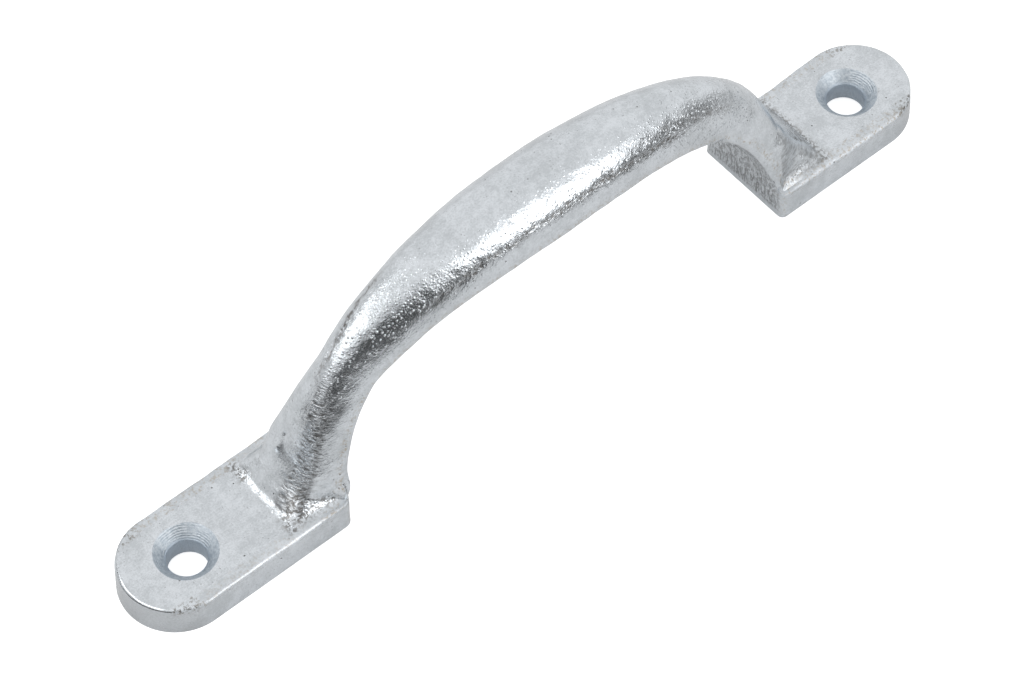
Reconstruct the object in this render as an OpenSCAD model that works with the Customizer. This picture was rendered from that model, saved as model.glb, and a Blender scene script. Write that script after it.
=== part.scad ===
// Hot bed handle: one zinc plated sand casting, two countersunk feet joined by a bow to hold.
// Millimetres. +X runs along the handle and +Z leaves the surface that it is screwed to.
// The origin is on the back of the feet, midway between their tips.

/* [Feet] */
// length of the whole handle, from the tip of one foot to the tip of the other
overall_len = 125; // [121:0.5:140]
// width of a foot across its back
foot_w = 14.7; // [13.4:0.1:17]
// thickness of a foot
foot_t = 4.5; // [3.4:0.1:5.4]
// lean of a foot's rim in degrees, which lets the pattern leave the sand
rim_draft = 2.5; // [1:0.5:8]
// radius of the rounded top edge of the rim
rim_r = 0.6; // [0.3:0.1:1]
// radius, seen from above, of the two corners of a foot beside the inner face of its leg
corner_r = 1.3; // [0.5:0.1:2.5]

/* [Screw holes] */
// distance between the two screw holes
hole_pitch = 107; // [104:0.5:109]
// diameter of the plain bore behind the countersink
bore_d = 5; // [4:0.1:5.6]
// diameter of the countersink at the face of the foot
sink_d = 8; // [7:0.1:9.6]
// full angle of the countersink in degrees
sink_angle = 90; // [80:1:100]

/* [Bow] */
// distance between the inner faces of the two feet
span = 69.8; // [64:0.5:73]
// room for the fingers, from the mounting surface to the underside of the grip
finger_room = 25.6; // [22:0.2:32]
// how square the shoulders of the bow are, where 2 is an ellipse
squareness = 2.36; // [2.2:0.02:2.8]
// how square the shoulders of the crest above it are
crest_squareness = 2.48; // [2.2:0.02:2.8]
// how far the bow of this casting stands off the middle, towards the right foot
bow_shift = 0.9; // [0:0.1:1.5]

/* [Section of the bow] */
// thickness of the grip in the middle
grip_t = 7.9; // [6:0.1:10]
// width of the grip in the middle
grip_w = 11.6; // [9:0.1:14]
// width of the bow at its shoulders, where it is slimmest
neck_w = 7; // [6:0.1:9]
// width of a leg just above its root
leg_w = 11.1; // [9.5:0.1:13]
// thickness of a leg against the inner face of its foot
leg_t = 4.2; // [3.2:0.1:5.5]
// distance from the flat underside to the widest line of the bow
under_r = 0.9; // [0.6:0.1:1.4]
// radius of the two edges of the underside of the grip
grip_edge_r = 0.9; // [0.6:0.1:1.2]
// radius of the two edges of the inner face of a leg
leg_edge_r = 0.5; // [0.3:0.1:0.9]

/* [Root of a leg] */
// how far the sloping front of the root runs out over the foot
root_run = 4.2; // [3.4:0.1:5]
// slope of that front in degrees
root_slope = 50; // [46:1:54]
// size of the fillet where the front meets the foot
base_fillet = 0.8; // [0.4:0.1:1.2]
// direction, in degrees above the back, in which the front has joined the crest
root_top = 20; // [18:0.5:23]
// width of the front where it meets the foot
root_w = 11.2; // [9:0.1:12]
// height over which the inner corner of a foot fairs into its leg
root_rise = 4.8; // [2.5:0.1:6]

/* [Hidden] */

// steps round a tip, up a root, and along one half of the bow
TIP_STEPS = 12;
ROOT_STEPS = 18;
BOW_STEPS = 26;
// steps across half of the back, up a rim, round its top edge, and over half of the dome
BACK_STEPS = 3;
RIM_STEPS = 3;
EDGE_STEPS = 4;
DOME_STEPS = 11;
// facets of the screw holes, and the distance that their cutter stands out
HOLE_FN = 96;
CLEAR = 1;

// the last step of a tip stops short of its end, which a narrow face closes
TIP_LIMIT = 87;
// directions in which a leg starts to taper and in which the bow is slimmest
LEG_DIR = 13.5;
NECK_DIR = 33.5;
// how quickly a leg tapers and how early the bow swells towards the grip
TAPER = 1.4;
SWELL = 0.65;
// shape of the dome: powers of cosine and sine at the root and at the grip
ROOT_POWER = 0.6;
GRIP_POWER = 0.95;
// how far inside its edge the dome of a leg springs
SHOULDER = 0.5;
// how quickly the flare at the foot of the dome dies away with height
FLARE_POWER = 4;
// share of the way up to its knee at which the front of the root starts to bend
BROW = 0.5;

half_len = overall_len / 2;
half_foot = foot_w / 2;
half_span = span / 2;
crest_span = half_span + leg_t;
crest_rise = finger_room + grip_t;
// how far the rim has leaned in where its top edge starts and where it ends
edge_inset = (foot_t - rim_r) * tan(rim_draft);
face_inset = edge_inset + rim_r;
half_face = half_foot - face_inset;
sink_depth = (sink_d - bore_d) / 2 / tan(sink_angle / 2);

zinc = [0.80, 0.82, 0.84];

// eases from 0 to 1 with no slope at either end
function smooth(u) = u * u * (3 - 2 * u);

function mix(a, b, u) = a + (b - a) * u;

// distance from the middle of the span to an ellipse squared by the power n, in the direction dir
function squared(a, b, n, dir) =
    pow(pow(abs(cos(dir)) / a, n) + pow(abs(sin(dir)) / b, n), -1 / n);

// underside and crest of the bow in the direction dir, as [x, z] from the middle of the span
function underside(dir) = squared(half_span, finger_room, squareness, dir) * [cos(dir), sin(dir)];
function crest(dir) = squared(crest_span, crest_rise, crest_squareness, dir) * [cos(dir), sin(dir)];

// The front of the root leaves the foot's face through a small fillet, climbs straight, and bends
// at its knee into the crest, which it joins along the crest's own slope.
root_foot = [crest_span + root_run, foot_t];
root_climb = [-cos(root_slope), sin(root_slope)];
root_end = crest(root_top);
crest_slope = crest(root_top + 1) - root_end;
root_reach = cross(root_end - root_foot, crest_slope) / cross(root_climb, crest_slope);
root_knee = root_foot + root_climb * root_reach;
root_start = root_foot + [base_fillet, 0];

// a curve from a to c that leaves and arrives towards b
function bend(a, b, c, u) = pow(1 - u, 2) * a + 2 * u * (1 - u) * b + u * u * c;

function root_front(u) =
    let (low = root_foot + root_climb * base_fillet, high = mix(root_foot, root_knee, BROW))
        u < 1 / 3
            ? bend(root_start, root_foot, low, 3 * u)
            : u < 2 / 3 ? mix(low, high, 3 * u - 1) : bend(high, root_knee, root_end, 3 * u - 2);

// back of the casting below the root: along the foot to its inner corner, then up the inner face
function behind_root(u) =
    u <= 0.5
        ? [mix(half_span, root_start[0], pow(1 - 2 * u, 2)), 0]
        : underside((2 * u - 1) * root_top);

// how much the rounded inner corner takes off the half width of a foot at the distance x
function corner_cut(x) =
    let (over = max(min(half_span + corner_r - x, corner_r), 0))
        corner_r - sqrt(corner_r * corner_r - over * over);

// how far the taper of a leg has come in the direction dir, from 0 below it to 1 at the neck
function tapered(dir) = max(min((dir - LEG_DIR) / (NECK_DIR - LEG_DIR), 1), 0);

// half the width of the bow at its widest line, which tapers up the leg and swells to the grip
function half_width(dir) =
    dir < NECK_DIR
        ? mix(neck_w, leg_w, pow(1 - tapered(dir), TAPER)) / 2
        : mix(neck_w, grip_w, smooth(pow((dir - NECK_DIR) / (90 - NECK_DIR), SWELL))) / 2;

// height of the point k of a foot's rim, which climbs its face and then rounds its top edge
function rim_height(k) =
    k <= RIM_STEPS
        ? (foot_t - rim_r) * pow(k / (RIM_STEPS + 1), 2)
        : foot_t - rim_r * (1 - sin(90 * (k - RIM_STEPS - 1) / EDGE_STEPS));

// One half of a section, from the middle of the back to the middle of the crest.
// It runs from the point back to the point top, and cast goes from 0, a foot with its leaning rim,
// to 1, a flat underside with a dome over it. edge is the widest line's half width, dome is the
// half width that the dome springs from, power is its roundness, and round is the radius of the
// two edges of the underside.
function half_section(back, top, cast, edge, dome, power, round) =
    let (
        height = top[1] - back[1],
        length = norm(top - back),
        seam = max((foot_t - back[1]) / max(height, 0.01), under_r / length),
        rim = min(seam, 1),
        flat = mix(half_foot, edge - round, cast),
        turns = RIM_STEPS + EDGE_STEPS + 1,
        place = function (y, f)
            let (x = mix(back[0], top[0], f))
                [x, y * (1 - (1 - cast) * corner_cut(x) / half_foot), mix(back[1], top[1], f)]
    )
    concat(
        [for (k = [0:BACK_STEPS]) place(flat * k / BACK_STEPS, 0)],
        [
            for (k = [1:turns])
                let (
                    z = rim_height(k),
                    curl = 90 * k / turns,
                    bow_y = mix(flat, edge, sin(curl)),
                    bow_f = rim * (1 - cos(curl))
                )
                place(mix(half_foot_at(z), bow_y, cast), mix(rim * z / foot_t, bow_f, cast))
        ],
        [
            for (k = [1:DOME_STEPS])
                let (
                    turn = 90 * k / DOME_STEPS,
                    rise = pow(sin(turn), power),
                    flare = (edge - dome) * pow(1 - rise, FLARE_POWER)
                )
                place(dome * pow(max(cos(turn), 0), power) + flare, mix(rim, 1, rise))
        ]
    );

// a section of the round tip, in the direction turn from straight across to straight ahead
function tip_section(centre, turn) =
    let (
        back = [centre, 0],
        top = [centre, foot_t],
        section = half_section(back, top, 0, half_face, root_w / 2, ROOT_POWER, leg_edge_r)
    )
    [
        for (p = section)
            [centre + half_foot_at(p[2]) * sin(turn) / sin(TIP_LIMIT), p[1] * cos(turn), p[2]]
    ];

// half width of a foot at the height z, down the leaning rim and round its edge
function half_foot_at(z) =
    z <= foot_t - rim_r
        ? half_foot - z * tan(rim_draft)
        : half_foot - edge_inset - rim_r + sqrt(max(rim_r * rim_r - pow(z - foot_t + rim_r, 2), 0));

// sections of one half of the handle, from its tip to the top of the bow
function half_sections(tip) =
    concat(
        [for (k = [0:TIP_STEPS]) tip_section(tip - half_foot, TIP_LIMIT * (1 - k / TIP_STEPS))],
        [
            for (k = [0:ROOT_STEPS])
                let (
                    u = k / ROOT_STEPS,
                    back = behind_root(u),
                    clear = (back[1] - foot_t + under_r) / root_rise,
                    cast = smooth(max(min(clear, 1), 0)),
                    leg = half_width(max(2 * u - 1, 0) * root_top),
                    dome = mix(root_w / 2, leg - SHOULDER * (1 - tapered(root_top)), smooth(u))
                )
                half_section(
                    back, root_front(u), cast, mix(half_face, leg, cast), dome, ROOT_POWER, leg_edge_r
                )
        ],
        [
            for (k = [1:BOW_STEPS])
                let (
                    dir = mix(root_top, 90, k / BOW_STEPS),
                    done = min((dir - root_top) / (NECK_DIR - root_top), 1),
                    edge = half_width(dir)
                )
                half_section(
                    underside(dir),
                    crest(dir),
                    1,
                    edge,
                    edge - SHOULDER * (1 - tapered(dir)),
                    mix(ROOT_POWER, GRIP_POWER, done),
                    mix(leg_edge_r, grip_edge_r, done)
                )
        ]
    );

// the whole ring of a section, with its far half first
function ring(half) =
    concat(half, [for (k = [len(half) - 2:-1:1]) [half[k][0], -half[k][1], half[k][2]]]);

function mirrored(half) = [for (p = half) [-p[0], p[1], p[2]]];

function shifted(half) = [for (p = half) p + [bow_shift, 0, 0]];

module casting() {
    right = half_sections(half_len - bow_shift);
    left = half_sections(half_len + bow_shift);
    last = len(right) - 1;
    rings = concat(
        [for (k = [0:last]) ring(shifted(mirrored(left[k])))],
        [for (k = [last - 1:-1:0]) ring(shifted(right[k]))]
    );
    count = len(rings[0]);
    end = (len(rings) - 1) * count;
    centres = [[-half_len, 0, foot_t / 2], [half_len, 0, foot_t / 2]];
    skin = [
        for (s = [0:len(rings) - 2])
            for (k = [0:count - 1])
                let (a = s * count + k, b = s * count + (k + 1) % count)
                    each [[a, b + count, b], [a, a + count, b + count]]
    ];
    tips = [
        for (k = [0:count - 1])
            let (next = (k + 1) % count, first_centre = end + count)
                each [[first_centre, k, next], [first_centre + 1, end + next, end + k]]
    ];
    points = concat([for (r = rings) each r], centres);
    polyhedron(points = points, faces = concat(skin, tips), convexity = 6);
}

// the bore and its countersink, which opens on the face of the foot
module screw_hole() {
    translate([0, 0, -CLEAR])
        cylinder(d = bore_d, h = foot_t + 2 * CLEAR, $fn = HOLE_FN);
    translate([0, 0, foot_t - sink_depth])
        cylinder(
            d1 = bore_d,
            d2 = bore_d + 2 * (sink_depth + CLEAR) * tan(sink_angle / 2),
            h = sink_depth + CLEAR,
            $fn = HOLE_FN
        );
}

module handle() {
    color(zinc)
        difference() {
            casting();
            for (side = [-1, 1])
                translate([side * hole_pitch / 2, 0, 0])
                    screw_hole();
        }
}

handle();
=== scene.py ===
"""Dresses the hot bed handle: one zinc plated sand casting, two countersunk feet and a bow.

The casting is swept from the sizes of its solid on a finer grid, with the unevenness of a sand
casting and its plated skin. Lengths are in millimetres until a mesh is written, in metres.
"""

from __future__ import annotations

import logging
from dataclasses import dataclass, field
from enum import Enum
from typing import Any, Union

import bmesh
import bpy
import numpy as np
from mathutils import Matrix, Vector
from numpy.typing import NDArray


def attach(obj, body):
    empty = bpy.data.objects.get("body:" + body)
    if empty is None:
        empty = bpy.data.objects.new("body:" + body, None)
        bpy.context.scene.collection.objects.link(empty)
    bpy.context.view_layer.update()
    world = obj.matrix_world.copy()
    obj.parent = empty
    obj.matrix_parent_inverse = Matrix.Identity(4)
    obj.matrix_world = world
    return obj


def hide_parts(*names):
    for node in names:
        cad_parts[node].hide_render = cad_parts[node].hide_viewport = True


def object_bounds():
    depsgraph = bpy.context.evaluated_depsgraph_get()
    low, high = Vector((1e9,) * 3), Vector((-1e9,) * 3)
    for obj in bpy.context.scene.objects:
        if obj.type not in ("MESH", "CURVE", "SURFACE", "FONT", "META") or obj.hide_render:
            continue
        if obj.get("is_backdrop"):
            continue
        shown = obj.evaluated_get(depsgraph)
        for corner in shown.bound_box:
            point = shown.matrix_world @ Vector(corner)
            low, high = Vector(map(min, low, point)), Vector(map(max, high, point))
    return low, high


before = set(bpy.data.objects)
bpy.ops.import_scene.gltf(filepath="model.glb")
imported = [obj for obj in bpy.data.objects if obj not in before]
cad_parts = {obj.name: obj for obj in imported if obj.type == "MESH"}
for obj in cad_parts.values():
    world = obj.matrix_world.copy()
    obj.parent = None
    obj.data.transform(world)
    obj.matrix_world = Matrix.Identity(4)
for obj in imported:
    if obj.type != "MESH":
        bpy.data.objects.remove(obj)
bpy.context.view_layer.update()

Array = NDArray[np.float64]
Value = Union["Wire", float, int]
Colour = tuple[float, float, float, float]
Table = tuple[tuple[float, float], ...]
MM = 0.001
PER_METRE = 1000.0
FULL_TURN = 6.2832
WHITE: Colour = (1.0, 1.0, 1.0, 1.0)
log = logging.getLogger("handle")


@dataclass(frozen=True)
class Wire:
    """A number on its way through a material: a socket that takes Python's arithmetic."""

    graph: "Graph"
    socket: bpy.types.NodeSocket

    def _math(self, operation: str, *values: Value) -> "Wire":
        """Adds one Math node on these values."""
        return self.graph.add("ShaderNodeMath", {"operation": operation}, dict(enumerate(values)))

    def __add__(self, other: Value) -> "Wire":
        """Sum."""
        return self._math("ADD", self, other)

    __radd__ = __add__

    def __sub__(self, other: Value) -> "Wire":
        """Difference."""
        return self._math("SUBTRACT", self, other)

    def __rsub__(self, other: Value) -> "Wire":
        """Difference with the number first."""
        return self._math("SUBTRACT", other, self)

    def __mul__(self, other: Value) -> "Wire":
        """Product."""
        return self._math("MULTIPLY", self, other)

    __rmul__ = __mul__

    def __pow__(self, other: Value) -> "Wire":
        """Power."""
        return self._math("POWER", self, other)

    def __abs__(self) -> "Wire":
        """Size without its sign."""
        return self._math("ABSOLUTE", self)

    def wave(self) -> "Wire":
        """Sine of the value."""
        return self._math("SINE", self)

    def larger(self, other: Value) -> "Wire":
        """The larger of two values."""
        return self._math("MAXIMUM", self, other)

    def between(self, low: float, high: float) -> "Wire":
        """Eases from 0 at low to 1 at high, with no slope at either end.

        Args:
            low: value that gives 0.
            high: value that gives 1, below low for a falling step.

        Returns:
            The eased value.
        """
        settings = {"interpolation_type": "SMOOTHSTEP"}
        if low < high:
            return self.graph.add("ShaderNodeMapRange", settings, {0: self, 1: low, 2: high})
        rising = self.graph.add("ShaderNodeMapRange", settings, {0: self, 1: high, 2: low})
        return 1.0 - rising


@dataclass(frozen=True)
class Graph:
    """The node tree of one material."""

    tree: bpy.types.NodeTree

    def add(
        self, kind: str, settings: dict[str, Any], inputs: dict[Any, Any], out: Any = 0
    ) -> Wire:
        """Adds a node of any type.

        Args:
            kind: the node's type.
            settings: its properties, which are set before its sockets.
            inputs: a value or a wire for each socket, by name or number.
            out: name or number of the output that is wanted.

        Returns:
            The wire from that output.
        """
        node = self.tree.nodes.new(kind)
        for name, setting in settings.items():
            setattr(node, name, setting)
        for key, value in inputs.items():
            if isinstance(value, Wire):
                self.tree.links.new(value.socket, node.inputs[key])
            else:
                node.inputs[key].default_value = value
        return Wire(self, node.outputs[out])

    def place(self, squeeze: tuple[float, float, float] = (1.0, 1.0, 1.0)) -> Wire:
        """Position on the piece, in millimetres, squeezed along the axes if wanted."""
        spot = self.add("ShaderNodeTexCoord", {}, {}, "Object")
        size = tuple(PER_METRE * s for s in squeeze)
        return self.add("ShaderNodeMapping", {"vector_type": "POINT"}, {"Vector": spot, "Scale": size})

    def axis(self, where: Wire, index: int) -> Wire:
        """One coordinate of a position."""
        return self.add("ShaderNodeSeparateXYZ", {}, {0: where}, index)

    def noise(self, where: Wire, size: float, detail: float = 2.0, rough: float = 0.5) -> Wire:
        """Cloudy noise from 0 to 1, with clouds about size millimetres across."""
        inputs = {"Vector": where, "Scale": 1.0 / size, "Detail": detail, "Roughness": rough}
        return self.add("ShaderNodeTexNoise", {"noise_dimensions": "3D"}, inputs, 0)

    def cells(self, where: Wire, size: float) -> Wire:
        """Distance to the nearest of many scattered points, size millimetres apart."""
        settings = {"voronoi_dimensions": "3D", "feature": "F1"}
        inputs = {"Vector": where, "Scale": 1.0 / size, "Randomness": 1.0}
        return self.add("ShaderNodeTexVoronoi", settings, inputs, "Distance")

    def painted(self, name: str) -> Wire:
        """A value kept on the mesh under this name."""
        return self.add("ShaderNodeAttribute", {"attribute_name": name}, {}, "Fac")

    def blend(self, amount: Value, first: Any, second: Any) -> Wire:
        """Mixes two colours: first where amount is 0, second where it is 1."""
        return self.add("ShaderNodeMix", {"data_type": "RGBA"}, {0: amount, 6: first, 7: second}, 2)

    def relief(self, height: Wire) -> Wire:
        """A surface normal from a height in millimetres."""
        return self.add("ShaderNodeBump", {}, {"Strength": 1.0, "Distance": MM, "Height": height})

    def bare_metal(self, colour: Wire, rough: Wire, height: Wire) -> Wire:
        """A metal surface of this colour and roughness, with a relief in millimetres."""
        inputs = {"Base Color": colour, "Metallic": 1.0, "Roughness": rough}
        return self.add("ShaderNodeBsdfPrincipled", {}, inputs | {"Normal": self.relief(height)})

    def glow(self, strength: Value) -> Wire:
        """A white light of this strength."""
        return self.add("ShaderNodeEmission", {}, {"Color": WHITE, "Strength": strength})


def new_material(name: str) -> Graph:
    """Makes an empty material.

    Args:
        name: the material's name.

    Returns:
        Its node tree as a graph.
    """
    material = bpy.data.materials.new(name)
    material.use_nodes = True
    material.node_tree.nodes.clear()
    return Graph(material.node_tree)


class Mark(Enum):
    """Values kept on the casting's points, for the finish to read."""

    FACE = "flat_underside"
    SEAM = "widest_line"
    RIM = "rim_edge"
    # Crumbs at the roots and along the bow, partly painted shade in the creases and crumbly lines.
    ROOT = "root_crumbs_and_painted_shade"
    BAND = "coarse_skin"
    # Dull skin, whose colour is darkened as painted shade.
    DULL_AND_SHADE = "dull_and_painted_shade"


@dataclass(frozen=True)
class ZincSkin:
    """Bright zinc plate over the rough skin of a sand casting.

    A name alone is the size of a grain or the distance between spots, and a height or depth is how
    far it stands proud or sinks in, all in millimetres.
    """

    name: str = "zinc_plate"
    metal: Colour = (0.73, 0.765, 0.80, 1.0)
    shade: Colour = (0.555, 0.585, 0.61, 1.0)
    # Dark colour of pin holes and specks, also used for painted shade.
    pit_and_shade: Colour = (0.13, 0.125, 0.12, 1.0)
    stain: Colour = (0.40, 0.33, 0.24, 1.0)
    roughness: float = 0.14
    cloud: float = 5.0
    mottle: float = 1.1
    grain: float = 0.25
    grain_height: float = 0.016
    crinkle: float = 0.42
    crinkle_height: float = 0.045
    bead: float = 0.46
    bead_height: float = 0.055
    wrinkle: float = 0.5
    wrinkle_height: float = 0.035
    wrinkle_squeeze: tuple[float, float, float] = (0.45, 0.45, 1.6)
    pin_hole: float = 1.1
    pin_hole_depth: float = 0.06
    pin_hole_patch: float = 2.2
    speck: float = 0.42
    speck_depth: float = 0.015
    speck_patch: float = 1.4
    streak: float = 0.32
    streak_depth: float = 0.07
    streak_squeeze: tuple[float, float, float] = (1.0, 1.0, 0.3)
    crumb: float = 0.42
    crumb_depth: float = 0.08
    left_leg: tuple[float, float] = (-31.0, -35.0)
    leg_foot: tuple[float, float] = (5.0, 7.0)
    shoulder: tuple[float, float] = (10.0, 22.0)
    right_leg: tuple[float, float] = (30.0, 34.0)
    tip: tuple[float, float] = (55.0, 58.0)
    # Heights over which the tip walls darken downwards, as painted shade.
    tip_wall_shade: tuple[float, float] = (4.4, 3.8)

    def material(self) -> bpy.types.Material:
        """Builds the plated skin.

        The relief is fine grain, crinkles and beads on the coarse bands, wrinkles across the left
        leg, pin holes, specks, streaks on the underside and crumbs along the root lines. The
        colour is the metal with soft clouds and grain, dark pin holes, specks and crumbs, and brown
        specks along the rim and the widest line. Painted shade darkens the dull patches, the lower
        tip walls, the root creases, the crumbly lines and the underside's streaks.

        Returns:
            The material.
        """
        g = new_material(self.name)
        spot = g.place()
        x, z = g.axis(spot, 0), g.axis(spot, 2)
        face, seam, rim, root, band, dull_and_shade = (g.painted(mark.value) for mark in Mark)

        leg = x.between(*self.left_leg) * z.between(*self.leg_foot) * band
        coarse = band * (0.6 + 0.4 * abs(x).between(*self.shoulder)) * (1.0 - 0.55 * leg)
        tip = abs(x).between(*self.tip)

        clouds = g.noise(spot, self.cloud, 3.0)
        mottle = g.noise(spot, self.mottle, 3.0, 0.6)
        fine = g.noise(spot, self.grain, 4.0, 0.65)
        crinkle = g.noise(spot, self.crinkle, 4.0, 0.65)
        wrinkle = g.noise(g.place(self.wrinkle_squeeze), self.wrinkle, 3.0, 0.6)
        streak = g.noise(g.place(self.streak_squeeze), self.streak, 4.0, 0.7)
        crumbs = g.noise(spot, self.crumb, 3.0, 0.7)

        beads = g.cells(spot, self.bead).between(0.42, 0.0)
        pits = g.cells(spot, self.pin_hole).between(0.13, 0.06)
        pits = pits * g.noise(spot, self.pin_hole_patch, 2.0).between(0.50, 0.62)
        specks = g.cells(spot, self.speck).between(0.26, 0.10)
        specks = specks * g.noise(spot, self.speck_patch, 2.0).between(0.52, 0.64)
        # Underside streaks, denser and darker than the real ones so that they also paint the shade under
        # the bow.
        streaks_and_shade = face * streak.between(0.45, 0.58)
        height = (
            fine * self.grain_height * (1.0 + 1.5 * coarse + 2.0 * rim)
            + crinkle * self.crinkle_height * coarse
            + beads * coarse * self.bead_height
            + wrinkle.between(0.35, 0.62) * self.wrinkle_height * leg
            - pits * self.pin_hole_depth
            - specks * self.speck_depth
            - streaks_and_shade * self.streak_depth
            - crumbs * self.crumb_depth * root
        )

        stained = rim.larger(seam).larger(root * 0.5) * crumbs.between(0.50, 0.64)
        # Painted shade: the underside streaks darken the shade under the bow, and the root crumbs darken
        # the creases and the crumbly lines.
        dark = pits.larger(streaks_and_shade * 0.75).larger(wrinkle.between(0.44, 0.36) * leg * 0.7)
        dark = dark.larger(root * crumbs.between(0.46, 0.54))
        dark = dark.larger(rim * tip * crumbs.between(0.48, 0.6))
        tone = (clouds * 0.3 + mottle * 0.3 + fine * 0.4).between(0.38, 0.62)
        colour = g.blend(tone, self.shade, self.metal)
        # Painted shade: the tip walls darken in blotches towards the floor.
        colour = g.blend(tip * z.between(*self.tip_wall_shade) * mottle * 0.4, colour, self.pit_and_shade)
        # Painted shade: the dull patches darken the colour.
        colour = g.blend(dull_and_shade * (0.15 + 0.5 * wrinkle.between(0.58, 0.42)), colour, self.pit_and_shade)
        colour = g.blend(stained * 0.7, colour, self.stain)
        colour = g.blend((dark * 0.85).larger(specks * 0.4), colour, self.pit_and_shade)
        rough = self.roughness + 0.10 * clouds + 0.15 * dark + 0.42 * rim
        rough = rough + dull_and_shade * 0.3 * x.between(*self.right_leg)
        return close_material(g, g.bare_metal(colour, rough, height), self.name)


@dataclass(frozen=True)
class TurnedZinc:
    """Zinc plate over metal that a countersink has cut in rings.

    Sizes are in millimetres: ring is the distance from one ring to the next, and bore_fade is
    where the bore's wall colour ends and begins, past the bore's radius.
    """

    name: str = "zinc_on_turned_metal"
    metal: Colour = (0.70, 0.74, 0.775, 1.0)
    shade: Colour = (0.42, 0.475, 0.525, 1.0)
    wall: Colour = (0.56, 0.62, 0.68, 1.0)
    roughness: float = 0.46
    roughness_swing: float = 0.16
    ring: float = 0.27
    ring_height: float = 0.010
    ring_lean: float = 0.2
    ring_wobble: float = 0.25
    ring_patch: float = 2.4
    wobble: float = 1.6
    chatter: float = 0.4
    chatter_height: float = 0.06
    bore_fade: tuple[float, float] = (0.35, 0.1)

    def material(self, hole: float, bore: float) -> bpy.types.Material:
        """Builds the turned finish, with rings round the axis of each screw hole.

        A ring is a sine wave of the distance from the axis.

        Args:
            hole: distance of the hole axes from the middle.
            bore: radius of the plain bore, whose wall is darker.

        Returns:
            The material.
        """
        g = new_material(self.name)
        spot = g.place()
        x, y, z = (g.axis(spot, i) for i in range(3))
        away = abs(x) - hole
        reach = (away * away + y * y) ** 0.5
        wobble = g.noise(spot, self.wobble, 2.0)
        phase = reach + z * self.ring_lean + wobble * self.ring_wobble
        rings = (phase * (FULL_TURN / self.ring)).wave()
        rings = rings * g.noise(spot, self.ring_patch, 2.0).between(0.42, 0.62)
        chatter = g.noise(spot, self.chatter, 4.0, 0.7)
        height = rings * self.ring_height + chatter * self.chatter_height
        colour = g.blend((rings * 0.16 + chatter).between(0.25, 0.72), self.shade, self.metal)
        far, near = self.bore_fade
        colour = g.blend(reach.between(bore + far, bore + near), colour, self.wall)
        rough = self.roughness + self.roughness_swing * wobble
        return close_material(g, g.bare_metal(colour, rough, height), self.name)


def close_material(graph: Graph, surface: Wire, name: str) -> bpy.types.Material:
    """Joins a shader to the material's output.

    Args:
        graph: the material's node tree.
        surface: the shader.
        name: the material's name.

    Returns:
        The material.
    """
    end = graph.tree.nodes.new("ShaderNodeOutputMaterial")
    graph.tree.links.new(surface.socket, end.inputs["Surface"])
    return bpy.data.materials[name]


def smooth(u: Array) -> Array:
    """Eases from 0 to 1 with no slope at either end: u squared times (3 - 2u)."""
    return u * u * (3 - 2 * u)


def mix(a: Any, b: Any, u: Any) -> Any:
    """Goes straight from a to b as u goes from 0 to 1."""
    return a + (b - a) * u


def ease(u: Array, start: Array | float, run: float) -> Array:
    """Eases from 0 at start to 1 after run, or from 1 down where run is negative."""
    return smooth(np.clip((u - start) / run, 0, 1))


def hump(away: Array, reach: float, power: int = 2) -> Array:
    """1 where away is 0, and 0 far off: exp(-(away / reach) to a power)."""
    return np.exp(-((away / reach) ** power))


def along(u: Array, table: Table) -> Array:
    """Reads a table of places and values, straight from one row to the next."""
    places, values = zip(*table)
    return np.interp(u, places, values)


def squared(a: float, b: float, power: float, turn: Array) -> Array:
    """Points of a squared ellipse: |x/a| and |z/b| raised to power add up to 1.

    Args:
        a: half width.
        b: height.
        power: 2 for an ellipse, more for squarer shoulders.
        turn: directions from the middle, in radians.

    Returns:
        The points as rows of x and z.
    """
    c, s = np.cos(turn), np.sin(turn)
    reach = (np.abs(c / a) ** power + np.abs(s / b) ** power) ** (-1 / power)
    return np.stack([reach * c, reach * s], -1)


@dataclass
class Swell:
    """Unevenness of the casting: a lump or dent round one spot, or a ring where ring isn't 0."""

    x: float
    y: float
    z: float
    reach: float
    height: float
    ring: float = 0.0

    def lift(self, points: Array) -> Array:
        """Height times exp(-((distance from the spot - ring) / reach) squared), at each point."""
        away = np.linalg.norm(points - [self.x, self.y, self.z], axis=1) - self.ring
        return self.height * np.exp(-((away / self.reach) ** 2))


@dataclass(frozen=True)
class End:
    """What differs a little between the two ends of this casting."""

    corner_radius: float
    root_run: float
    root_slope: float


def ripples(points: Array, size: float, count: int, seed: int) -> Array:
    """Random smooth unevenness, the sum of many plane waves of about one length.

    Each wave is the cosine of a direction times the position plus a phase, and the sum is scaled so
    that its usual size is 1.

    Args:
        points: positions, one a row.
        size: wave length in millimetres.
        count: number of waves.
        seed: picks the directions, so that every run is the same.

    Returns:
        One value a point.
    """
    chance = np.random.default_rng(seed)
    aim = chance.normal(size=(count, 3))
    aim /= np.linalg.norm(aim, axis=1, keepdims=True)
    aim *= 2 * np.pi / (size * chance.uniform(0.7, 1.5, (count, 1)))
    phase = chance.uniform(0, 2 * np.pi, count)
    return np.cos(points @ aim.T + phase).sum(1) * np.sqrt(2 / count)


@dataclass(frozen=True)
class Wave:
    """Ripples of one height and length in millimetres, with their number of waves and seed."""

    height: float
    length: float
    count: int
    seed: int

    def lift(self, points: Array) -> Array:
        """Height times the ripples, at each point."""
        return self.height * ripples(points, self.length, self.count, self.seed)


@dataclass
class Sections:
    """Sections along one half of the handle, one a row, from its tip to the top of the bow."""

    back: Array
    top: Array
    cast: Array
    edge: Array
    dome: Array
    power: Array
    rounding: Array
    turn: Array


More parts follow.
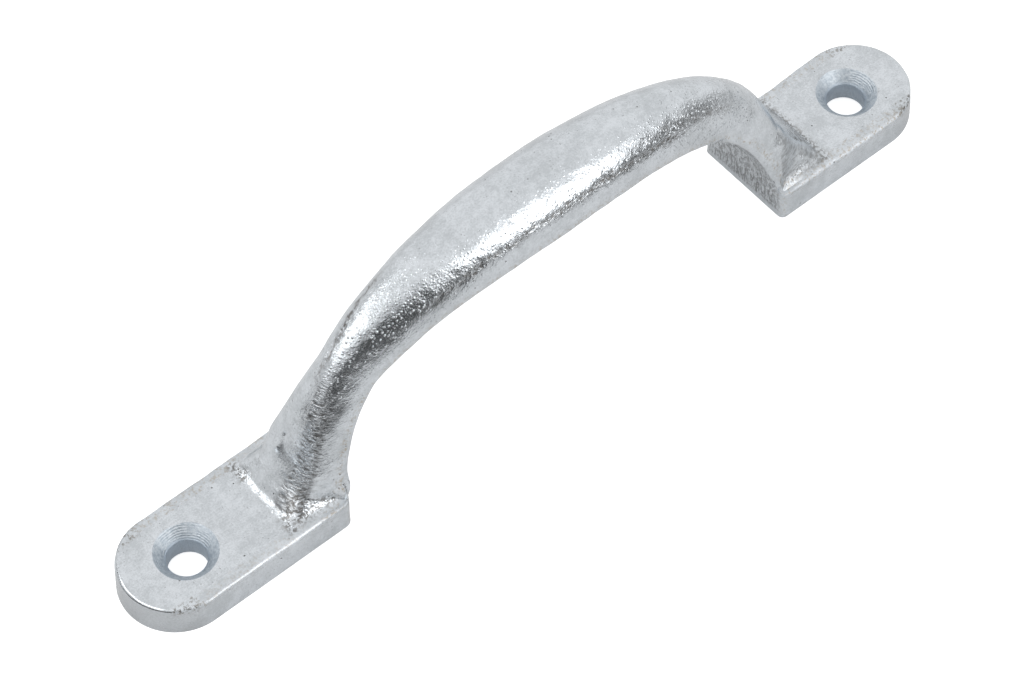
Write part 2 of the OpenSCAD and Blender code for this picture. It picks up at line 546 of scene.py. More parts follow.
@dataclass
class ScrewHole:
    """A bore with a countersink that opens on the face of a foot, in millimetres.

    A row of the lead-in says how much wider than the bore it is, and its height above the back.
    The cutter stands out past the foot, and the cut finish reaches a margin past the countersink.
    """

    bore: float = 2.5
    sink: float = 4.0
    depth: float = 1.5
    burr: float = 0.06
    lead_in: Table = ((0.35, -0.001), (0.1, 0.22), (0.0, 0.45))
    past: float = 1.0
    finish_margin: float = 0.4
    steps: int = 160

    def cutter(self, x: float, face: float) -> bpy.types.Object:
        """Makes the solid that is cut away, a profile turned round the hole's axis.

        Args:
            x: where the axis stands.
            face: height of the foot's face.

        Returns:
            The cutter, closed at both ends.
        """
        out = self.past
        profile = np.array(
            [
                [0.0, -out],
                [self.bore + self.lead_in[0][0], -out],
                *([self.bore + wider, height] for wider, height in self.lead_in),
                [self.bore, face - self.depth - self.burr],
                [self.bore + self.burr * 0.6, face - self.depth + self.burr * 0.4],
                [self.sink + out, face + out],
                [0.0, face + out],
            ]
        )
        turn = np.linspace(0, 2 * np.pi, self.steps, endpoint=False)
        radius, height = profile[1:-1, 0][:, None], profile[1:-1, 1][:, None]
        rings = np.stack(
            [x + radius * np.cos(turn), radius * np.sin(turn), height + 0 * turn], -1
        ).reshape(-1, 3)
        rows = len(profile) - 2
        low, high = rows * self.steps, rows * self.steps + 1
        points = np.vstack([rings, [[x, 0, -out], [x, 0, face + out]]])
        i, j = np.meshgrid(np.arange(rows - 1), np.arange(self.steps), indexing="ij")
        after = (j + 1) % self.steps
        a, b = i * self.steps + j, i * self.steps + after
        quads = np.stack([a, b, b + self.steps, a + self.steps], -1).reshape(-1, 4)
        k = np.arange(self.steps)
        k2 = (k + 1) % self.steps
        last = (rows - 1) * self.steps
        floor = np.stack([k2, k, np.full_like(k, low)], -1)
        lid = np.stack([last + k, last + k2, np.full_like(k, high)], -1)
        faces = quads.tolist() + np.vstack([floor, lid]).tolist()
        return new_object("screw_hole_cutter", points, faces)


def new_object(name: str, points: Array, faces: list[list[int]]) -> bpy.types.Object:
    """Makes an object at the origin.

    Args:
        name: its name, and its mesh's.
        points: its points in millimetres, one a row.
        faces: the point numbers of each face.

    Returns:
        The object.
    """
    mesh = bpy.data.meshes.new(name)
    mesh.from_pydata((points * MM).tolist(), [], faces)
    mesh.update()
    piece = bpy.data.objects.new(name, mesh)
    bpy.context.scene.collection.objects.link(piece)
    return piece


@dataclass
class SkinMap:
    """Where the casting's skin differs, as values from 0 to 1 on the points of its grid.

    A level is a place in a section: 0 to 1 across the back, to 2 round the edge, to 3 over the
    dome. Out is the distance from the top of the bow, to either side. The tables give the coarse
    band's lowest level by out, its limit in y by -x, and the neck line's y by out. Heights and
    distances are in millimetres.
    """

    casting: "Casting"
    points: Array
    level: Array
    coarse_from: Table = ((8, 2.15), (16, 2.0), (24, 2.0), (31, 2.1), (34, 2.35))
    coarse_far_side: Table = ((17, 0.8), (18, 2.2), (31, 2.2), (36, -0.2))
    coarse_least: float = 0.15
    dome_edge: float = 2.01
    underside_edge: float = 1.05
    leg_out: tuple[float, float] = (36, 43)
    stripe_line: float = 2.34
    neck_line: Table = ((23, 2.1), (25, 2.0), (27, 1.45), (29.5, 0.68), (34, -0.2))
    wavy: tuple[Wave, ...] = (Wave(0.012, 3.5, 30, 11), Wave(0.016, 0.9, 60, 12))
    x: Array = field(init=False)
    y: Array = field(init=False)
    z: Array = field(init=False)
    out: Array = field(init=False)

    def __post_init__(self) -> None:
        """Splits the points into their coordinates."""
        self.x, self.y, self.z = (self.points[..., i] for i in range(3))
        self.out = np.abs(self.x - self.casting.bow_shift)

    @property
    def right(self) -> NDArray[np.bool_]:
        """Points on the right half."""
        return self.x > 0

    @property
    def near(self) -> NDArray[np.bool_]:
        """Points on the near side."""
        return self.y < 0

    @property
    def root(self) -> Array:
        """How far out a root begins, at each point's own end."""
        ends = np.where(self.right, self.casting.right.root_run, self.casting.left.root_run)
        return self.casting.half_span + self.casting.leg_thickness + ends

    def bow(self) -> Array:
        """1 on the bow, which rises from the feet."""
        return ease(self.z, self.casting.foot_thickness, 0.6)

    def coarse(self) -> Array:
        """The coarse band along the bow's near side, which reaches past the crest on the left."""
        band = ease(self.level, along(self.out, self.coarse_from), 0.2)
        band *= ease(self.level, mix(3.15, 2.98, self.out > 31), -0.12)
        band *= np.where(self.right, ease(self.out, 33, -3), 1)
        return band * ease(self.y, along(-self.x, self.coarse_far_side), -1)

    def wall(self) -> NDArray[np.bool_]:
        """Points past the widest line, and on the left leg those round its edge too."""
        left_leg = ~self.right & (self.z > 4.8)
        return self.level > np.where(left_leg, self.underside_edge, self.dome_edge)

    def corner(self) -> Array:
        """The corners on both sides of each leg."""
        return ease(np.abs(self.y), 3.5, 1) * self.wall() * (self.out > self.leg_out[0])

    def root_front(self) -> Array:
        """The line where the front of a root leaves its foot."""
        return hump(self.out - self.root, 0.7) * self.root_foot()

    def root_foot(self) -> Array:
        """A low strip just above the foot's face."""
        low = hump(self.z - self.casting.foot_thickness - 0.3, 0.8)
        return low * (self.level > self.dome_edge)

    def shaded_root_crease(self) -> Array:
        """The line where the near side of a leg leaves its foot, higher and stronger on the left, where
        the crumbs also paint the crease's shade.
        """
        crease = np.where(self.right, self.root_foot(), hump(self.z - 5.3, 0.6) * self.wall())
        inside = (self.out < self.root) & (self.out > self.casting.half_span + 1.5)
        return crease * (inside & (self.y < -3.5)) * np.where(self.right, 0.3, 0.9)

    def inner_edge(self) -> Array:
        """The near and far corner of a foot's inner face."""
        edge = hump(self.out - self.casting.half_span - 0.35, 0.22)
        beside = np.abs(self.y) > self.casting.half_foot - 0.9
        return edge * (beside & (self.z < self.casting.foot_thickness - 0.2))

    def root_crumbs_and_crease_shade(self) -> Array:
        """Crumbs at the roots: their fronts, their creases, a left corner and a right slope; in the
        creases they also paint shade.
        """
        ends = ease(np.abs(self.y + 0.3), 2.8, 1.2)
        front = self.root_front() * np.where(self.right, 0.8, mix(0.12, 1.0, ends))
        corner = hump(self.out - 41.0, 1.5, 4) * hump(self.y + 4.7, 1.4, 4)
        corner *= ~self.right & (self.z > 4.4)
        slope = 0.8 * hump(self.out - self.root + 2.0, 2.3, 4) * hump(self.z - 7.8, 3.6, 4)
        slope *= self.right & (self.y > -3.5) & (self.level > self.dome_edge)
        return np.maximum.reduce([front, self.shaded_root_crease(), corner, slope])

    def crumbly_shade_lines(self) -> tuple[Array, Array]:
        """The crumbly lines along the bow, which wander a little, whose darkness is a painted reflection
        of the dark room off a crumbly step.

        Returns:
            All lines together, and the one on the far side of the left neck alone.
        """
        spots = self.points.reshape(-1, 3)
        wavy = sum(wave.lift(spots) for wave in self.wavy).reshape(self.x.shape)
        line = hump(self.level - self.stripe_line - wavy, 0.035) * self.near
        line *= ease(self.out, 22, -5)
        far = hump(self.y - 9 * wavy - along(self.out, self.neck_line), 0.27)
        far *= hump(self.out - 28, 5.5, 4) * (~self.right & (self.level > 2.3))
        return np.maximum(line, far), far

    def crumbly_patch(self) -> Array:
        """Loose crumbs on the near side of the right shoulder."""
        patch = hump(self.out - 22, 7, 4) * hump(self.level - 2.48, 0.08)
        return 0.6 * patch * (self.right & self.near)

    def rim(self) -> Array:
        """The rounded top edge of a foot, weaker along the near side of the left one."""
        edge = hump(self.z - self.casting.foot_thickness + 0.25, 0.35)
        edge *= (np.abs(self.y) > self.casting.half_face - 1.2) & (self.level < 2.2)
        left_foot = (self.x < -38) & (self.x > -56) & self.near
        return edge * np.where(left_foot, 0.55, 1)

    def dull_and_shade(self) -> Array:
        """Dull skin and painted shade: a facet on the right leg, which is also rougher, the left leg's
        ridge, and the crumbly lines, all darkened in colour.
        """
        line, far = self.crumbly_shade_lines()
        leg = self.out < self.leg_out[1]
        facet = 0.7 * self.corner() * (self.right & self.near & leg & (self.z > 4.55))
        ridge = self.coarse() * ease(self.out, 32, 4) * (~self.right & leg) * self.bow()
        return np.maximum.reduce([facet, ridge, 0.5 * line + 0.15 * far])

    def marks(self) -> dict[Mark, Array]:
        """Works out the values that the finish reads.

        Returns:
            One value from 0 to 1 a point for each mark.
        """
        underside = (self.z > 1) & (self.out > 25)
        line, _ = self.crumbly_shade_lines()
        coarse = self.bow() * np.maximum(self.coarse(), self.coarse_least)
        corner = self.corner() * np.where(self.right, 0.8, 0.4)
        return {
            Mark.FACE: ease(self.level, 1.15, -0.35) * underside,
            Mark.SEAM: np.maximum(hump(self.level - 2.0, 0.05) * self.bow(), self.inner_edge()),
            Mark.RIM: self.rim(),
            Mark.ROOT: np.maximum.reduce([self.root_crumbs_and_crease_shade(), line, self.crumbly_patch()]),
            Mark.BAND: np.maximum.reduce([coarse, self.root_front(), corner]),
            Mark.DULL_AND_SHADE: self.dull_and_shade(),
        }


@dataclass
class Casting:
    """The handle: two feet with leaning rims, and a bow with a flat underside and a domed crest.

    Lengths are in millimetres, and slopes and directions in degrees. The skin is uneven by waves,
    and by a grain that is higher on the coarse bands. Both die down towards the flat back.
    """

    length: float = 125.0
    foot_width: float = 14.7
    foot_thickness: float = 4.5
    rim_draft: float = 2.5
    rim_radius: float = 0.6
    left: End = End(1.3, 3.8, 50.0)
    right: End = End(0.8, 4.2, 56.0)
    hole_pitch: float = 107.0
    span: float = 69.8
    finger_room: float = 25.6
    squareness: float = 2.36
    crest_squareness: float = 2.48
    bow_shift: float = 0.9
    grip_thickness: float = 7.9
    grip_width: float = 11.6
    neck_width: float = 7.0
    leg_width: float = 11.1
    leg_thickness: float = 4.2
    under_radius: float = 0.9
    grip_edge_radius: float = 0.9
    leg_edge_radius: float = 0.5
    base_fillet: float = 0.8
    root_top: float = 20.0
    root_width: float = 11.2
    root_rise: float = 4.8
    leg_direction: float = 13.5
    neck_direction: float = 33.5
    taper: float = 1.4
    swell: float = 0.65
    root_power: float = 0.6
    grip_power: float = 0.95
    flare_power: float = 4.0
    shoulder: float = 0.5
    brow: float = 0.5
    tip_steps: int = 26
    foot_steps: int = 24
    root_steps: int = 72
    bow_steps: int = 118
    back_steps: int = 12
    rim_steps: int = 7
    edge_steps: int = 7
    dome_steps: int = 50
    weld: float = 1e-4
    waves: tuple[Wave, ...] = (Wave(0.02, 9.0, 40, 3), Wave(0.012, 2.6, 60, 5))
    grain: Wave = Wave(1.0, 1.0, 90, 8)
    grain_height: float = 0.004
    coarse_height: float = 0.006
    back_height: float = 1.5
    back_share: float = 0.15
    level_normal: float = 0.9
    sharp_angle: float = 32.0
    hole: ScrewHole = field(default_factory=ScrewHole)
    swells: tuple[Swell, ...] = (
        Swell(-38.1, 1.8, 9.9, 0.6, 0.24),
        Swell(-37.1, 1.3, 11.9, 0.27, -0.16),
        Swell(-40.0, -0.8, 7.4, 0.17, 0.045, ring=1.4),
        Swell(46.0, 7.2, 3.0, 4.0, -0.3),
    )

    @property
    def half_foot(self) -> float:
        """Half width of a foot on its back."""
        return self.foot_width / 2

    @property
    def half_span(self) -> float:
        """Half the distance between the inner faces of the feet."""
        return self.span / 2

    @property
    def lean(self) -> float:
        """How far the rim has leaned in where its top edge starts to round."""
        return (self.foot_thickness - self.rim_radius) * np.tan(np.radians(self.rim_draft))

    @property
    def half_face(self) -> float:
        """Half width of a foot's face inside its rounded edge."""
        return self.half_foot - self.lean - self.rim_radius

    def underside(self, turn: Array) -> Array:
        """Underside of the bow in these directions, a squared ellipse."""
        return squared(self.half_span, self.finger_room, self.squareness, turn)

    def crest(self, turn: Array) -> Array:
        """Crest of the bow in these directions, a squared ellipse."""
        rise = self.finger_room + self.grip_thickness
        return squared(self.half_span + self.leg_thickness, rise, self.crest_squareness, turn)

    def half_foot_at(self, z: Array) -> Array:
        """Half width of a foot: in by the draft, then round the top edge as a quarter circle.

        Args:
            z: heights above the back.

        Returns:
            The half width at each height.
        """
        start = self.foot_thickness - self.rim_radius
        leaned = self.half_foot - z * np.tan(np.radians(self.rim_draft))
        over = np.clip(z - start, 0, self.rim_radius)
        rounded = self.half_face + np.sqrt(np.maximum(self.rim_radius**2 - over**2, 0))
        return np.where(z <= start, leaned, rounded)

    def corner_cut(self, x: Array, r: float) -> Array:
        """What an inner corner of this radius takes off a foot's half width: r less a circle's height."""
        over = np.clip(self.half_span + r - x, 0, r)
        return r - np.sqrt(r * r - over * over)

    def half_width(self, turns: Array) -> Array:
        """Half width of the bow at its widest line, which tapers up the leg and swells to the grip.

        The taper is a power of the way to the neck, and the swell an eased power of the way on.

        Args:
            turns: directions in degrees, from 0 at a foot to 90 at the top of the bow.

        Returns:
            The half width in each direction.
        """
        neck, grip = self.neck_width, self.grip_width
        low = (self.neck_direction - turns) / (self.neck_direction - self.leg_direction)
        high = (turns - self.neck_direction) / (90 - self.neck_direction)
        leg = mix(neck, self.leg_width, np.clip(low, 0, 1) ** self.taper)
        return (leg + (grip - neck) * smooth(np.clip(high, 0, 1) ** self.swell)) / 2

    def root_front(self, u: Array, end: End) -> Array:
        """Front of a root, up the middle of the leg.

        It leaves the foot's face through a small fillet, climbs straight, and bends at its knee
        into the crest, which it joins along the crest's own slope. Each third of the way is one
        piece, and a bend is a quadratic curve, (1-v)^2 a + 2v(1-v) b + v^2 c.

        Args:
            u: how far along the front, from 0 to 1.
            end: how far it runs out over the foot, and how steeply it climbs.

        Returns:
            The points as rows of x and z.
        """
        rise = np.radians(end.root_slope)
        climb = np.array([-np.cos(rise), np.sin(rise)])
        last = self.crest(np.radians(self.root_top))
        slope = self.crest(np.radians(self.root_top + 1)) - last
        foot = np.array([self.half_span + self.leg_thickness + end.root_run, self.foot_thickness])
        reach = np.linalg.solve(np.stack([climb, -slope], -1), last - foot)[0]
        knee = foot + climb * reach
        low, high = foot + climb * self.base_fillet, mix(foot, knee, self.brow)
        start = foot + [self.base_fillet, 0]

        def bend(a: Array, b: Array, c: Array, v: Array) -> Array:
            """A curve from a to c that leaves and arrives towards b."""
            return (1 - v) ** 2 * a + 2 * v * (1 - v) * b + v * v * c

        v = 3 * u[:, None]
        pieces = [bend(start, foot, low, v), mix(low, high, v - 1), bend(high, knee, last, v - 2)]
        return np.select([v < 1, v < 2], pieces[:2], pieces[2])

    def sections(self, tip: float, end: End) -> Sections:
        """Lays out the sections of one half.

        Tip sections turn about the middle of the round end. Foot sections stand upright. In the
        root the back runs along the foot and up the inner face, while the top follows the root's
        front. On the bow both ends follow their squared ellipses.

        Args:
            tip: distance from the middle of the span to the tip.
            end: what differs at this end.

        Returns:
            The sections, from the tip to the top of the bow.
        """
        t, face = self.foot_thickness, self.half_face
        u = np.linspace(0, 1, self.root_steps + 1)
        top = self.root_front(u, end)

        turn = np.radians(np.linspace(90, 0, self.tip_steps + 1))
        centre = tip - self.half_foot
        flat_x = np.concatenate(
            [np.full(len(turn), centre), np.linspace(centre, top[0, 0], self.foot_steps + 1)[1:-1]]
        )
        flat = np.zeros_like(flat_x)

        along = mix(self.half_span, top[0, 0], (1 - 2 * np.minimum(u, 0.5)) ** 2)
        climb = np.maximum(2 * u - 1, 0) * self.root_top
        back = np.where(
            u[:, None] <= 0.5,
            np.stack([along, 0 * u], -1),
            self.underside(np.radians(climb)),
        )
        cast = smooth(np.clip((back[:, 1] - t + self.under_radius) / self.root_rise, 0, 1))
        leg = self.half_width(climb)

        turns = np.linspace(self.root_top, 90, self.bow_steps + 1)[1:]
        tapered = (turns - self.leg_direction) / (self.neck_direction - self.leg_direction)
        rounded = (turns - self.root_top) / (self.neck_direction - self.root_top)
        tapered, rounded = np.minimum(tapered, 1), np.minimum(rounded, 1)
        width = self.half_width(turns)
        rad = np.radians(turns)
        begun = (self.root_top - self.leg_direction) / (self.neck_direction - self.leg_direction)
        dome = mix(self.root_width / 2, leg - self.shoulder * (1 - begun), smooth(u))

        def row(a: Array | float, b: Array | float, c: Array | float) -> Array:
            """Values of the foot, the root and the bow, end to end."""
            return np.concatenate([a + flat, b + 0 * u, c + 0 * turns])

        edge_radius = mix(self.leg_edge_radius, self.grip_edge_radius, rounded)
        return Sections(
            back=np.concatenate([np.stack([flat_x, flat], -1), back, self.underside(rad)]),
            top=np.concatenate([np.stack([flat_x, flat + t], -1), top, self.crest(rad)]),
            cast=row(0.0, cast, 1.0),
            edge=row(face, mix(face, leg, cast), width),
            dome=row(self.root_width / 2, dome, width - self.shoulder * (1 - tapered)),
            power=row(
                self.root_power, self.root_power, mix(self.root_power, self.grip_power, rounded)
            ),
            rounding=row(self.leg_edge_radius, self.leg_edge_radius, edge_radius),
            turn=np.concatenate([turn, np.zeros(len(flat_x) - len(turn) + len(u) + len(turns))]),
        )

    def half_grid(self, tip: float, end: End) -> tuple[Array, Array]:
        """Points of one half, from the middle of the back to the middle of the crest.

        A section runs across the back, up the rim or round the edge of the underside, and over the
        dome. The dome's width is its springing times a power of the cosine, plus a flare that dies
        away as a power of the height left.

        Args:
            tip: distance from the middle of the span to the tip.
            end: what differs at this end.

        Returns:
            The points as sections by steps by 3, and the place of each step in its section, from 0
            to 1 across the back, to 2 round the edge, and to 3 over the dome.
        """
        s = self.sections(tip, end)
        t, rim_r = self.foot_thickness, self.rim_radius
        col = {k: v[:, None] for k, v in vars(s).items() if v.ndim == 1}
        height = (s.top - s.back)[:, 1:]
        length = np.linalg.norm(s.top - s.back, axis=1)[:, None]
        seam = np.maximum((t - s.back[:, 1:]) / np.maximum(height, 0.01), self.under_radius / length)
        rim = np.minimum(seam, 1)
        flat = mix(self.half_foot, col["edge"] - col["rounding"], col["cast"])

        across = np.arange(self.back_steps + 1) / self.back_steps
        turns = self.rim_steps + self.edge_steps + 1
        k = np.arange(1, turns + 1)
        quarter = np.radians(90 * (k - self.rim_steps - 1) / self.edge_steps)
        z = np.where(
            k <= self.rim_steps,
            (t - rim_r) * (k / (self.rim_steps + 1)) ** 1.5,
            t - rim_r * (1 - np.sin(np.maximum(quarter, 0))),
        )
        curl = np.radians(90 * k / turns)
        edge_y = mix(self.half_foot_at(z), mix(flat, col["edge"], np.sin(curl)), col["cast"])
        edge_f = mix(rim * z / t, rim * (1 - np.cos(curl)), col["cast"])
        over = np.radians(90 * np.arange(1, self.dome_steps + 1) / self.dome_steps)
        c, sn = np.maximum(np.cos(over), 0), np.sin(over)
        rise = sn ** col["power"]
        flare = (col["edge"] - col["dome"]) * (1 - rise) ** self.flare_power
        dome_y = col["dome"] * c ** col["power"] + flare
        dome_f = mix(rim, 1, rise)

        y = np.concatenate([flat * across, edge_y, dome_y], 1)
        f = np.concatenate([np.zeros_like(flat) * across, edge_f, dome_f], 1)
        x = mix(s.back[:, :1], s.top[:, :1], f)
        z = mix(s.back[:, 1:], s.top[:, 1:], f)
        y = y * (1 - (1 - col["cast"]) * self.corner_cut(x, end.corner_radius) / self.half_foot)
        x = x + self.half_foot_at(z) * np.sin(col["turn"])
        y = y * np.cos(col["turn"])
        step = np.concatenate([across, 1 + k / turns, 2 + over / (np.pi / 2)])
        return np.stack([x, y, z], -1), np.broadcast_to(step, x.shape)

    def grid(self) -> tuple[Array, Array]:
        """Points of the whole handle as rings by steps by 3, with the place of each step.

        The right half runs from its tip to the top of the bow, and the left half, a mirror image
        that reaches its own tip, runs on from there. Each ring has its near side last.

        Returns:
            The points, and the place of each in its section, as half_grid gives them.
        """
        right, step = self.half_grid(self.length / 2 - self.bow_shift, self.right)
        left, _ = self.half_grid(self.length / 2 + self.bow_shift, self.left)
        half = np.concatenate([right, left[-2::-1] * [-1, 1, 1]]) + [self.bow_shift, 0, 0]
        steps = np.concatenate([step, step[-2::-1]])
        near = half[:, -2:0:-1] * [1, -1, 1]
        return np.concatenate([half, near], 1), np.concatenate([steps, steps[:, -2:0:-1]], 1)

    def build(self) -> bpy.types.Object:
        """Builds the casting: the grid is closed and marked, its points are joined where they
        fall on one spot, its skin is made uneven, and its holes are drilled.

        Returns:
            The finished mesh as an object that sits at the origin.
        """
        grid, step = self.grid()
        rings, ring = grid.shape[:2]
        marks = SkinMap(self, grid, step).marks()
        number = np.arange(rings * ring).reshape(rings, ring)
        fold = (ring - np.arange(ring)) % ring
        for end in (0, rings - 1):
            number[end] = np.minimum(number[end], number[end][fold])
        a, b = number[:-1], number[1:]
        a2, b2 = np.roll(a, -1, 1), np.roll(b, -1, 1)
        faces = np.stack([a, b, b2, a2], -1).reshape(-1, 4)
        used, faces = np.unique(faces, return_inverse=True)
        faces = faces.reshape(-1, 4)
        piece = new_object("handle_casting", grid.reshape(-1, 3)[used], faces.tolist())
        mesh = piece.data
        for mark, values in marks.items():
            layer = mesh.attributes.new(mark.value, "FLOAT", "POINT")
            layer.data.foreach_set("value", values.reshape(-1)[used].astype(np.float32))
        self.join_points(mesh)
        self.roughen(mesh)
        self.drill(piece)
        return piece

    def join_points(self, mesh: bpy.types.Mesh) -> None:
        """Joins points that fall on one spot, as at the two tips, so that no sliver is left.

        Args:
            mesh: the mesh to join.
        """
        work = bmesh.new()
        work.from_mesh(mesh)
        bmesh.ops.remove_doubles(work, verts=work.verts, dist=self.weld * MM)
        work.to_mesh(mesh)
        work.free()
        mesh.update()

    def roughen(self, mesh: bpy.types.Mesh) -> None:
        """Moves each point along its normal by waves of three lengths and by the swells.

        Args:
            mesh: the casting's mesh, whose coarse bands get the higher grain.
        """
        count = len(mesh.vertices)
        points, normals = np.empty(count * 3), np.empty(count * 3)
        mesh.vertices.foreach_get("co", points)
        mesh.vertices.foreach_get("normal", normals)
        points, normals = points.reshape(-1, 3) / MM, normals.reshape(-1, 3)
        band = np.empty(count, np.float32)
        mesh.attributes[Mark.BAND.value].data.foreach_get("value", band)
        lift = sum(wave.lift(points) for wave in self.waves)
        lift += (self.grain_height + self.coarse_height * band) * self.grain.lift(points)
        for swell in self.swells:
            lift += swell.lift(points)
        lift = lift * mix(self.back_share, 1.0, ease(points[:, 2], 0, self.back_height))
        points = points + normals * lift[:, None]
        points[:, 2] = np.maximum(points[:, 2], 0)
        mesh.vertices.foreach_set("co", (points * MM).ravel())
        mesh.update()

    def drill(self, piece: bpy.types.Object) -> None:
        """Cuts both screw holes, and gives their walls the second material.

        Args:
            piece: the casting.
        """
        cutters = [self.hole.cutter(s * self.hole_pitch / 2, self.foot_thickness) for s in (-1, 1)]
        for cutter in cutters:
            cut = piece.modifiers.new("screw_hole", "BOOLEAN")
            cut.operation, cut.solver, cut.object = "DIFFERENCE", "EXACT", cutter
        view = bpy.context.evaluated_depsgraph_get()
        drilled = bpy.data.meshes.new_from_object(piece.evaluated_get(view))
        piece.modifiers.clear()
        old, piece.data = piece.data, drilled
        bpy.data.meshes.remove(old)
        self.join_points(drilled)
        for cutter in cutters:
            bpy.data.objects.remove(cutter)
        faces = len(drilled.polygons)
        centre, normal = np.empty(faces * 3), np.empty(faces * 3)
        drilled.polygons.foreach_get("center", centre)
        drilled.polygons.foreach_get("normal", normal)
        centre, normal = centre.reshape(-1, 3) / MM, normal.reshape(-1, 3)
        away = np.hypot(np.abs(centre[:, 0]) - self.hole_pitch / 2, centre[:, 1])
        inward = np.abs(normal[:, 2]) < self.level_normal
        turned = (away < self.hole.sink + self.hole.finish_margin) & inward
        drilled.polygons.foreach_set("material_index", turned.astype(np.int32))
        drilled.polygons.foreach_set("use_smooth", np.ones(faces, bool))
        drilled.set_sharp_from_angle(angle=np.radians(self.sharp_angle))
        drilled.update()

    def dress(self, piece: bpy.types.Object) -> None:
        """Gives the casting its finishes and says what it stands for.

        Args:
            piece: the casting.
        """
        piece.data.materials.append(ZincSkin().material())
        piece.data.materials.append(TurnedZinc().material(self.hole_pitch / 2, self.hole.bore))
        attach(piece, "root")
        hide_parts("handle")


def standing(side: Array, up: Array, back: Array, spot: Array) -> Matrix:
    """A placing matrix, whose columns are three directions and a place."""
    rows = np.stack([side, up, back, spot], 1).tolist()
    return Matrix([*rows, [0, 0, 0, 1]])


@dataclass(frozen=True)
class SoftBox:
    """A rectangular lamp that faces the handle.

    Turn is its direction, 0 in front and 90 on the right, and rise its height above the horizon,
    both in degrees. Size is its width and height and away its distance, in millimetres. Power is
    in watts.
    """

    name: str
    turn: float
    rise: float
    size: tuple[float, float]
    power: float
    away: float = 600.0

    def light(self, height: float) -> None:
        """Adds the lamp.

        Args:
            height: height of the point that it faces, in millimetres.
        """
        t, r = np.radians(self.turn), np.radians(self.rise)
        out = np.array([np.sin(t) * np.cos(r), -np.cos(t) * np.cos(r), np.sin(r)])
        side = np.array([np.cos(t), np.sin(t), 0.0])
        light = bpy.data.lights.new(self.name, "AREA")
        light.shape, light.energy = "RECTANGLE", self.power
        light.size, light.size_y = self.size[0] * MM, self.size[1] * MM
        lamp = bpy.data.objects.new(self.name, light)
        spot = (out * self.away + [0, 0, height]) * MM
        lamp.matrix_world = standing(side, np.cross(out, side), out, spot)
        bpy.context.scene.collection.objects.link(lamp)


@dataclass(frozen=True)
class SideCard:
    """A dark card that stands between two directions, given in degrees as a lamp's turn is.

    Heights are those of its lower and upper edge in millimetres, and shade is its brightness.
    """

    name: str
    turns: tuple[float, float]
    heights: tuple[float, float]
    shade: float
    away: float = 590.0

    def corners(self) -> Array:
        """Its four corners, one a row."""
        a, b = ([np.sin(t) * self.away, -np.cos(t) * self.away] for t in np.radians(self.turns))
        low, high = self.heights
        return np.array([[*a, low], [*b, low], [*b, high], [*a, high]])


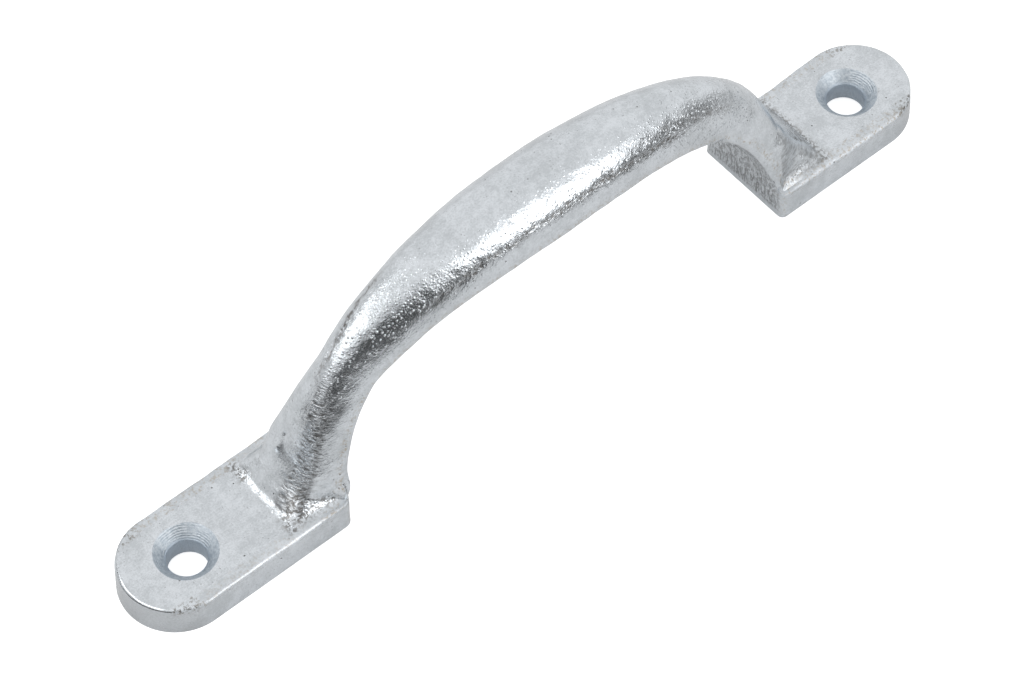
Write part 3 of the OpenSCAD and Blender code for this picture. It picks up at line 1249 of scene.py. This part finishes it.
@dataclass
class Studio:
    """The pale floor, the lamps with the dark room between them, and the camera.

    The gap's outline is in degrees, as a lamp's turn and rise, and the dark floor's outline in
    millimetres, as x and y. Pixels is the camera's focal length.
    """

    turn: float = -40.387
    height: float = 55.081
    distance: float = 454.236
    pixels: float = 3731.93
    frame_width: int = 1024
    sensor: float = 36.0
    aim: tuple[float, float, float] = (-2.267, -7.934, 12.0)
    surround: float = 0.92
    floor_size: float = 1500.0
    floor_drop: float = 0.02
    floor_colour: Colour = (0.62, 0.62, 0.62, 1.0)
    floor_lift: float = 0.75
    mirror_lift: float = 0.14
    boxes: tuple[SoftBox, ...] = (
        SoftBox("front_box", 19.5, 17.5, (300, 350), 0.88),
        SoftBox("left_box", -88, 36, (355, 170), 0.48),
        SoftBox("back_left_strip", -127, 36, (210, 175), 0.31),
    )
    cards: tuple[SideCard, ...] = (
        SideCard("dim_side", (-76, -128), (40, 250), 0.7),
        SideCard("dark_back", (-128, -156), (150, 300), 0.12),
        SideCard("dark_right", (43, 78), (0.5, 85), 0.15),
        SideCard("dark_skirting", (-74, -106), (0.5, 62), 0.12),
    )
    gap_away: float = 560.0
    gap_shade: float = 0.08
    gap_outline: Table = (
        *((-75, -8), (16, -8), (16, -3), (7, 8), (-1, 19)),
        *((-11, 32), (-24, 31), (-42, 22), (-50, 11), (-75, 4)),
    )
    dark_floor_rise: float = 0.5
    dark_floor_shade: float = 0.11
    dark_floor_outline: Table = (
        *((-71, -52), (-46, -52), (-34, -37), (-18, -30), (-8, -49), (4, -90)),
        *((24, -165), (36, -150), (45, -90), (49, -58), (80, -42), (500, -75)),
        *((500, -555), (-555, -555), (-555, 200), (-71, 20)),
    )

    def axes(self) -> tuple[Array, Array, Array]:
        """Works out the camera's directions from its turn and height.

        Returns:
            Its right, up and backward directions.
        """
        a, e = np.radians(self.turn), np.radians(self.height)
        right = np.array([np.cos(a), np.sin(a), 0.0])
        up = np.array([-np.sin(a) * np.sin(e), np.cos(a) * np.sin(e), np.cos(e)])
        back = np.array([np.sin(a) * np.cos(e), -np.cos(a) * np.cos(e), np.sin(e)])
        return right, up, back

    def camera(self) -> None:
        """Makes the camera: its target is offset across and up the picture."""
        right, up, back = self.axes()
        target = self.aim[0] * right + self.aim[1] * up + [0, 0, self.aim[2]]
        lens = bpy.data.cameras.new("camera")
        lens.sensor_width = self.sensor
        lens.lens = self.sensor * self.pixels / self.frame_width
        lens.clip_start, lens.clip_end = 0.01, 20.0
        camera = bpy.data.objects.new("camera", lens)
        camera.matrix_world = standing(right, up, back, (target + back * self.distance) * MM)
        bpy.context.scene.collection.objects.link(camera)
        bpy.context.scene.camera = camera

    def floor(self) -> None:
        """Makes the floor, whose plain colour is lifted for the camera and in reflections."""
        corners = np.array([[-1, -1, 0], [1, -1, 0], [1, 1, 0], [-1, 1, 0]]) * self.floor_size
        floor = new_object("floor", corners - [0, 0, self.floor_drop], [[0, 1, 2, 3]])
        g = new_material("pale_floor")
        names = ("Is Camera Ray", "Is Glossy Ray", "Is Transmission Ray")
        camera, gloss, glass = (g.add("ShaderNodeLightPath", {}, {}, n) for n in names)
        plain = g.add("ShaderNodeBsdfDiffuse", {}, {"Color": self.floor_colour})
        lift = g.glow(camera * self.floor_lift + gloss.larger(glass) * self.mirror_lift)
        both = g.add("ShaderNodeAddShader", {}, {0: plain, 1: lift})
        floor.data.materials.append(close_material(g, both, "pale_floor"))
        floor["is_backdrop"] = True

    def world(self) -> None:
        """Makes the even pale surroundings."""
        world = bpy.data.worlds.new("surroundings")
        world.use_nodes = True
        shade = world.node_tree.nodes["Background"]
        shade.inputs["Color"].default_value = WHITE
        shade.inputs["Strength"].default_value = self.surround
        bpy.context.scene.world = world

    def dark_card(self, name: str, corners: Array, shade: float) -> None:
        """Adds a dark card that shows only in reflections, as the unlit room does.

        Args:
            name: its name.
            corners: its corners in millimetres, one a row.
            shade: its brightness.
        """
        card = new_object(name, corners, [list(range(len(corners)))])
        g = new_material(name)
        card.data.materials.append(close_material(g, g.glow(shade), name))
        card.visible_camera = False
        card.visible_diffuse = False
        card.visible_shadow = False
        card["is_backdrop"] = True

    def gap(self) -> None:
        """Hangs the dark card between the lamps, drawn as directions seen from the handle."""
        turn, rise = np.radians(self.gap_outline).T
        away = self.gap_away
        height = np.tan(rise) * away + self.aim[2]
        spot = [np.sin(turn) * away, -np.cos(turn) * away, height]
        self.dark_card("dark_gap", np.stack(spot, -1), self.gap_shade)

    def dark_floor(self) -> None:
        """Lays the dark card on the floor in front, as the room there is seen in the metal."""
        corners = [[x, y, self.dark_floor_rise] for x, y in self.dark_floor_outline]
        self.dark_card("dark_floor", np.array(corners), self.dark_floor_shade)

    def build(self) -> None:
        """Sets up everything round the handle."""
        self.camera()
        self.floor()
        self.world()
        for box in self.boxes:
            box.light(self.aim[2])
        self.gap()
        self.dark_floor()
        for card in self.cards:
            self.dark_card(card.name, card.corners(), card.shade)
        bpy.context.scene.view_settings.view_transform = "Standard"


def main() -> None:
    """Builds the studio and the casting, in order."""
    logging.basicConfig(level=logging.INFO, format="%(message)s")
    Studio().build()
    casting = Casting()
    piece = casting.build()
    casting.dress(piece)
    low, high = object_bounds()
    size = ", ".join(f"{(b - a) / MM:.2f}" for a, b in zip(low, high))
    log.info("%s: %d faces, %s mm", piece.name, len(piece.data.polygons), size)


if __name__ == "__main__":
    main()
